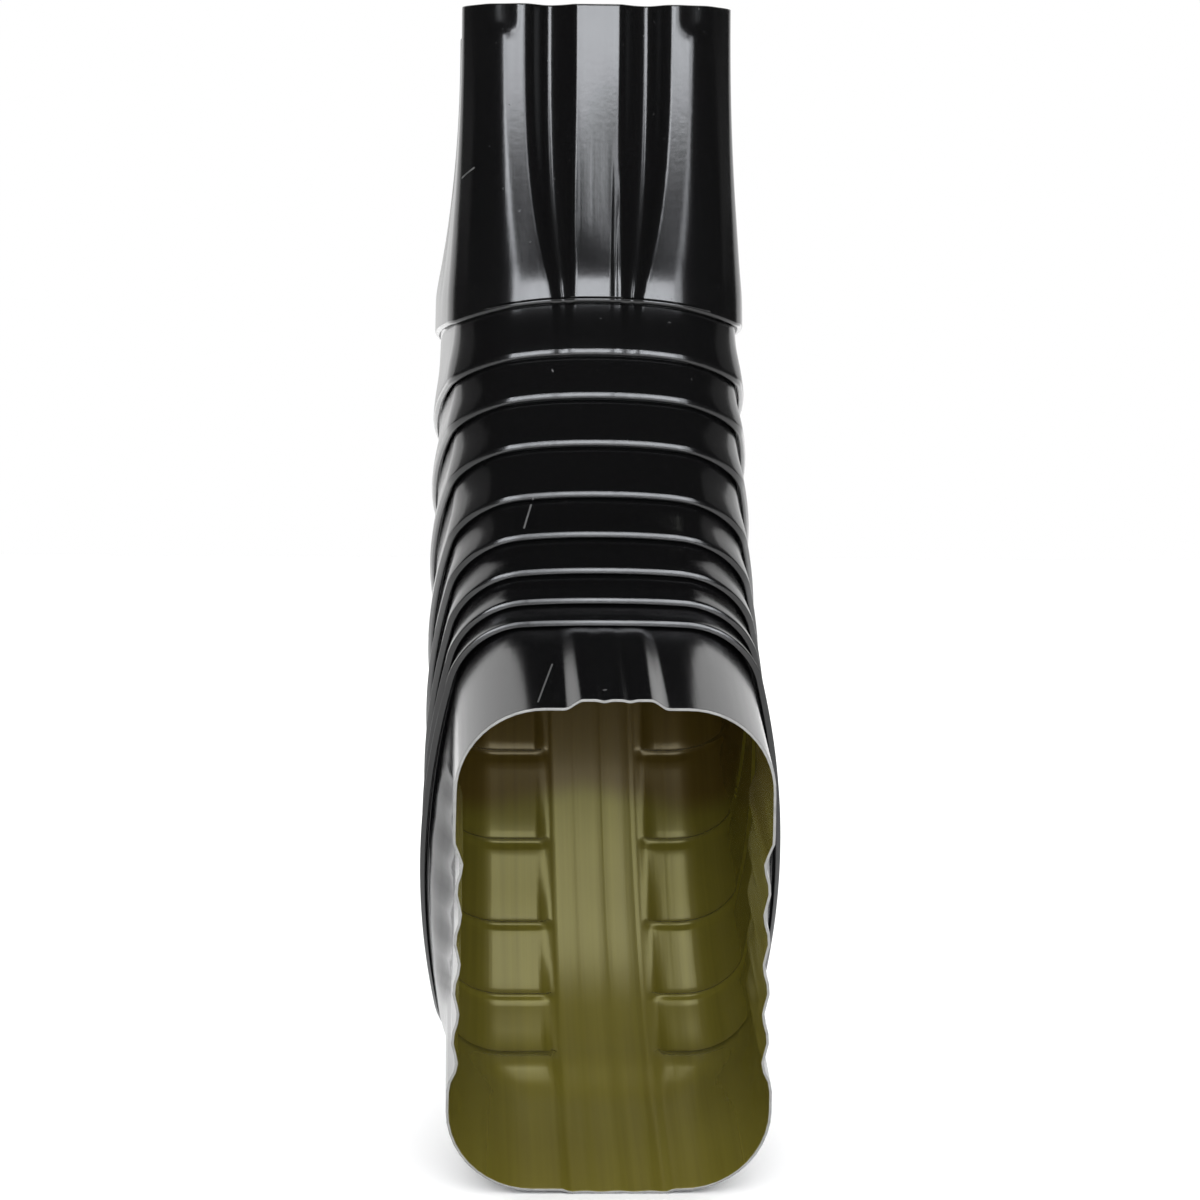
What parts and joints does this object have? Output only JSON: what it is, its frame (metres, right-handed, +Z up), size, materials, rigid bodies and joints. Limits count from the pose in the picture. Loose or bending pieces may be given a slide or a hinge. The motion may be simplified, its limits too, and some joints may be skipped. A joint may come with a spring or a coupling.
{
  "type": "downspout elbow",
  "caption": "Black painted sheet-metal downspout elbow with a pleated bend, a crimped upright end and an open fluted collar.",
  "frame": {"origin": "centre of the crimped end, in the plane of its rim", "axes": "+Z up along the upright end's axis, +X across the narrow walls, collar towards -Y"},
  "size_m": [0.0674, 0.18, 0.2182],
  "materials": {
    "painted_sheet": "gloss enamel"
  },
  "bodies": {
    "root": {"elbow": "painted_sheet"}
  },
  "joints": []
}
